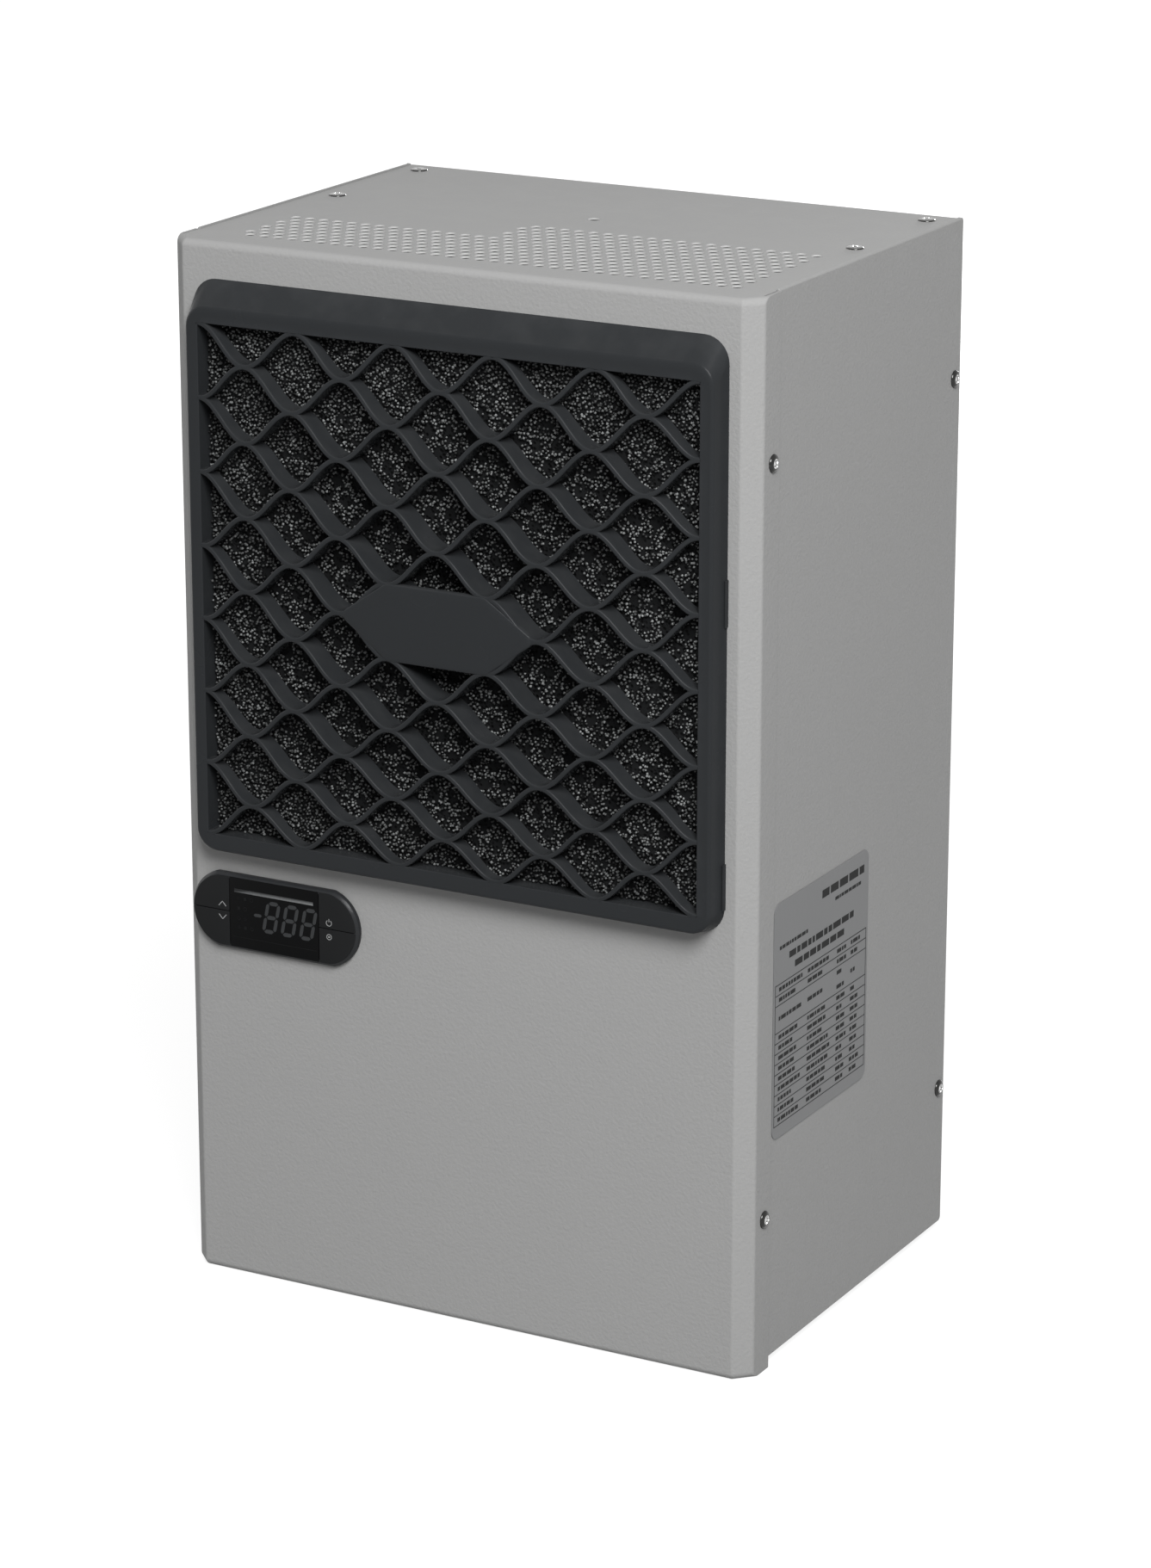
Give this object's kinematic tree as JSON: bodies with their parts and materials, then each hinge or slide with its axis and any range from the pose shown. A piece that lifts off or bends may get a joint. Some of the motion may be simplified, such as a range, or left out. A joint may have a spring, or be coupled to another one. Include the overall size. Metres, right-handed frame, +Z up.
{
  "type": "cabinet air conditioner",
  "caption": "Side-mounted cabinet air conditioner: sheet-metal case, filter grille with curved lattice, controller with display, perforated top outlet.",
  "frame": {"origin": "centre of the bounding box's underside, on the floor that the case stands on", "axes": "+X to the right seen from the front, +Y from the grille to the mounting face at the back, +Z up"},
  "size_m": [0.285, 0.2214, 0.4732],
  "materials": {
    "case_paint": "light grey textured powder coat",
    "inner_metal": "matt dark grey",
    "grille_plastic": "satin charcoal moulded plastic",
    "filter_foam": "open-cell black foam",
    "controller_plastic": "satin black",
    "display_film": "dark window with pale figures",
    "key_film": "satin membrane",
    "light_lens": "smoked lens, unlit",
    "plate_foil": "grey foil, bare",
    "screw_steel": "zinc plated",
    "seal_foam": "closed-cell sealing strip",
    "socket_plastic": "moulded terminal block",
    "stud_brass": "turned",
    "plug_rubber": "moulded"
  },
  "bodies": {
    "root": {"front_cover": "case_paint", "top_cover": "case_paint", "side_panel_right": "case_paint", "side_panel_left": "case_paint", "base_panel": "case_paint", "rear_panel": "case_paint", "inner_block": "inner_metal", "grille_frame": "grille_plastic", "grille_lattice": "grille_plastic", "badge_plate": "grille_plastic", "foam_filter": "filter_foam", "grille_tabs_left": "grille_plastic", "grille_tabs_right": "grille_plastic", "controller_housing": "controller_plastic", "display_window": "display_film", "key_up": "key_film", "key_down": "key_film", "key_set": "key_film", "key_standby": "key_film", "light_bar": "light_lens", "rating_plate": "plate_foil", "top_screws": "screw_steel", "flange_screws_left": "screw_steel", "flange_screws_right": "screw_steel", "rear_screws_left": "screw_steel", "rear_screws_right": "screw_steel", "rear_gasket": "seal_foam", "power_socket": "socket_plastic", "signal_socket": "socket_plastic", "earth_stud": "stud_brass", "drain_plug": "plug_rubber"}
  },
  "joints": []
}
